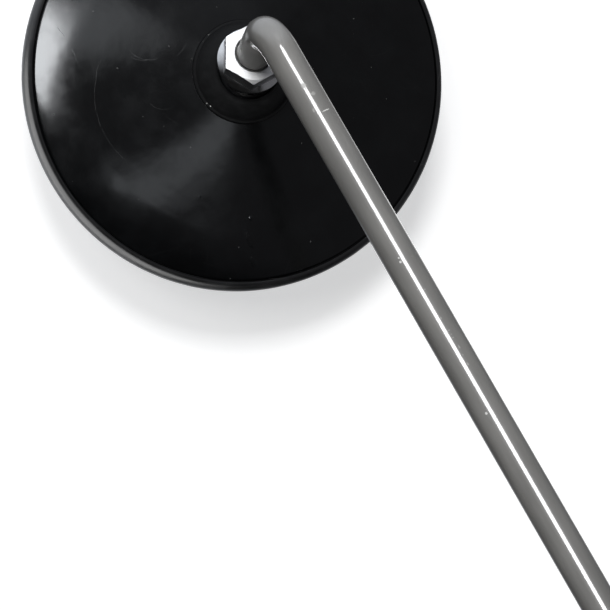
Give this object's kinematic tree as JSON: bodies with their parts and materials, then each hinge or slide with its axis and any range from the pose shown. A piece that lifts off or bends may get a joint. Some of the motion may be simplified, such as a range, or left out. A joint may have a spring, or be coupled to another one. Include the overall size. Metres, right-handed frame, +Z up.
{
  "type": "motorcycle mirror",
  "caption": "Round motorcycle rear-view mirror: domed black shell with a rim ring and convex glass, on a ball joint at the end of a bent steel stem with a threaded foot.",
  "frame": {"origin": "on the stem's axis at the seat on the handlebar perch, under the base washer", "axes": "+Z up the stem, -Y the way the glass looks, +X to the right of someone looking at the glass"},
  "size_m": [0.1261, 0.0827, 0.3084],
  "materials": {
    "housing_shell": "gloss black moulded plastic",
    "rim_ring": "satin dark grey channel ring",
    "rubber_boss": "matt black rubber",
    "head_lock_nut": "bright plated",
    "stem": "semi-gloss grey paint",
    "ball_stud": "blackened steel",
    "rear_liner": "natural nylon",
    "front_liner": "natural nylon",
    "pressure_cup": "black nylon",
    "disc_spring": "spring steel",
    "spring_plate": "zinc plated sheet",
    "plate_screws": "zinc plated",
    "mirror_glass": "silvered glass",
    "glass_pad": "soft foam",
    "base_lock_nut": "zinc plated",
    "head_washer": "bright plated",
    "base_washer": "zinc plated"
  },
  "bodies": {
    "stem": {"stem": "stem", "head_lock_nut": "head_lock_nut", "head_washer": "head_washer", "base_lock_nut": "base_lock_nut", "base_washer": "base_washer", "ball_stud": "ball_stud"},
    "rear_liner": {"rear_liner": "rear_liner"},
    "front_liner": {"front_liner": "front_liner"},
    "head": {"housing_shell": "housing_shell", "rim_ring": "rim_ring", "rubber_boss": "rubber_boss", "pressure_cup": "pressure_cup", "disc_spring": "disc_spring", "spring_plate": "spring_plate", "plate_screws": "plate_screws", "mirror_glass": "mirror_glass", "glass_pad": "glass_pad"}
  },
  "joints": [
    {"name": "head_tilt", "type": "hinge", "parent": "stem", "child": "rear_liner", "pos_m": [0, -0.0424, 0.215], "axis": [1, 0, 0], "range_deg": [-5, 23]},
    {"name": "head_pan", "type": "hinge", "parent": "rear_liner", "child": "front_liner", "pos_m": [0, -0.0424, 0.215], "axis": [0, 0.1564, 0.9877], "range_deg": [-12.5, 15.5]},
    {"name": "head_spin", "type": "hinge", "parent": "front_liner", "child": "head", "pos_m": [0, -0.0424, 0.215], "axis": [0.0262, 0.9873, -0.1564], "continuous": true}
  ]
}
